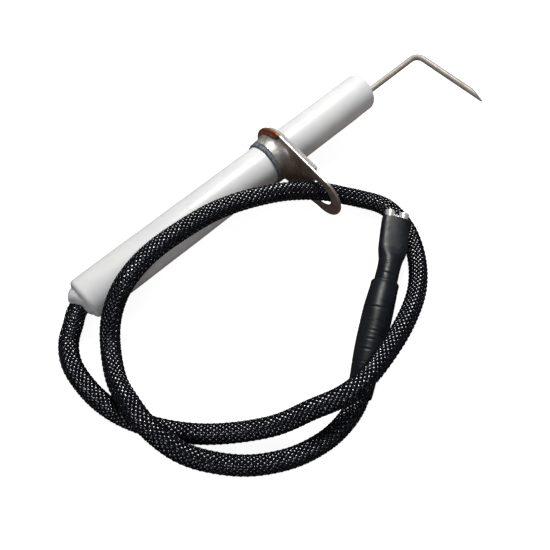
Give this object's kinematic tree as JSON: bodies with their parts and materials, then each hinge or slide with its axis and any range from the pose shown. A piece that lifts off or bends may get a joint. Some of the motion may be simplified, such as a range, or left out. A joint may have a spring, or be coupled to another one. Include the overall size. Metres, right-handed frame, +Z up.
{
  "type": "ignition electrode",
  "caption": "Ceramic ignition electrode with a flanged collar, a bent and pointed rod, and a coiled braided lead ending in a sleeved flat-blade terminal.",
  "frame": {"origin": "centre of the footprint of the whole object, lead included, on the table it lies on", "axes": "+X horizontal, towards the front of the electrode; the insulator's axis rises 2.4 degrees towards the front. +Y horizontal, away from the coiled lead. +Z up"},
  "size_m": [0.1742, 0.0946, 0.0229],
  "materials": {
    "insulator": "glossy white glaze",
    "electrode_rod": "satin, slightly heat-tinted",
    "mounting_flange": "drawn and polished, reflective",
    "front_gasket": "matte pressed fibre",
    "collar_cement": "rough, speckled",
    "front_cement": "rough",
    "rear_cement": "rough, hand-filled",
    "splice_barrel": "tinned",
    "lower_shrink_tube": "satin black heat-shrink tube, lightly wrinkled",
    "upper_shrink_tube": "satin black heat-shrink tube",
    "spade_terminal": "bright tin plating",
    "conductor_main": "tinned copper strands",
    "insulation_main": "satin silicone",
    "braid_main": "black yarn braid with bright metal flecks",
    "conductor_mid": "tinned copper strands",
    "insulation_mid": "satin silicone",
    "braid_mid": "black yarn braid with bright metal flecks",
    "conductor_tail": "tinned copper strands",
    "insulation_tail": "satin silicone",
    "braid_tail": "black yarn braid with bright metal flecks",
    "conductor_end": "tinned copper strands",
    "insulation_end": "satin silicone",
    "braid_end": "black yarn braid with bright metal flecks"
  },
  "bodies": {
    "electrode": {"insulator": "insulator", "electrode_rod": "electrode_rod", "mounting_flange": "mounting_flange", "front_gasket": "front_gasket", "collar_cement": "collar_cement", "front_cement": "front_cement", "rear_cement": "rear_cement", "splice_barrel": "splice_barrel", "conductor_main": "conductor_main", "insulation_main": "insulation_main", "braid_main": "braid_main"},
    "lead_mid": {"conductor_mid": "conductor_mid", "insulation_mid": "insulation_mid", "braid_mid": "braid_mid"},
    "lead_tail": {"conductor_tail": "conductor_tail", "insulation_tail": "insulation_tail", "braid_tail": "braid_tail"},
    "terminal": {"conductor_end": "conductor_end", "insulation_end": "insulation_end", "braid_end": "braid_end", "lower_shrink_tube": "lower_shrink_tube", "upper_shrink_tube": "upper_shrink_tube", "spade_terminal": "spade_terminal"}
  },
  "joints": [
    {"name": "lead_swing", "type": "hinge", "parent": "electrode", "child": "lead_mid", "pos_m": [-0.05356, -0.0406, 0.00321], "axis": [0, 0, 1], "range_deg": [0, 3]},
    {"name": "terminal_swing", "type": "hinge", "parent": "lead_mid", "child": "lead_tail", "pos_m": [-0.03556, -0.0441, 0.00401], "axis": [0, 0, 1], "range_deg": [-1, 4]},
    {"name": "terminal_lift", "type": "hinge", "parent": "lead_tail", "child": "terminal", "pos_m": [-0.02706, -0.0421, 0.00481], "axis": [0.5388, -0.8425, 0], "range_deg": [0, 3]}
  ]
}
